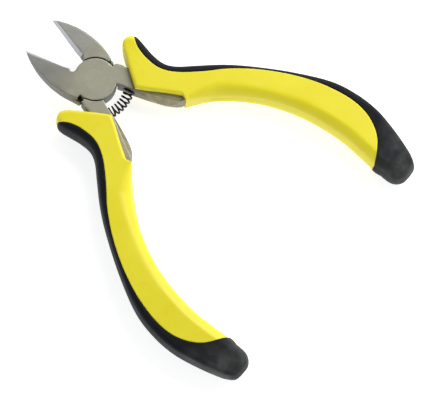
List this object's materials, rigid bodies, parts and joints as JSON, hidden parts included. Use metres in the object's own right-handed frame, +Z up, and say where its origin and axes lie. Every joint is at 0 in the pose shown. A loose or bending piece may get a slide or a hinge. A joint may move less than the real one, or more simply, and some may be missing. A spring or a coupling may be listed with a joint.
{
  "type": "flush cutter",
  "caption": "Spring-opened lap-joint side cutter with short curved jaws and bowed two-colour grips, shown open.",
  "frame": {"origin": "on the pivot axis, at the underside of the lap joint", "axes": "+Y from the pivot towards the jaws, +Z up along the pivot axis, +X towards the right handle"},
  "size_m": [0.099, 0.1174, 0.013],
  "materials": {
    "forged_steel": "fine ground, satin",
    "rivet_steel": "ground flush",
    "spring_steel": "black oxide wire",
    "yellow_plastic": "moulded, satin",
    "black_rubber": "moulded, satin"
  },
  "bodies": {
    "left_half": {"left_lever": "forged_steel", "left_grip_core": "yellow_plastic", "left_grip_overmold": "black_rubber", "pivot_rivet": "rivet_steel", "return_spring": "spring_steel"},
    "right_half": {"right_lever": "forged_steel", "right_grip_core": "yellow_plastic", "right_grip_overmold": "black_rubber"}
  },
  "joints": [
    {"name": "jaw_pivot", "type": "hinge", "parent": "left_half", "child": "right_half", "pos_m": [0, 0, 0], "axis": [0, 0, -1], "range_deg": [0, 30], "stiffness_Nm_per_rad": 0.35, "deforming": ["return_spring"]}
  ]
}
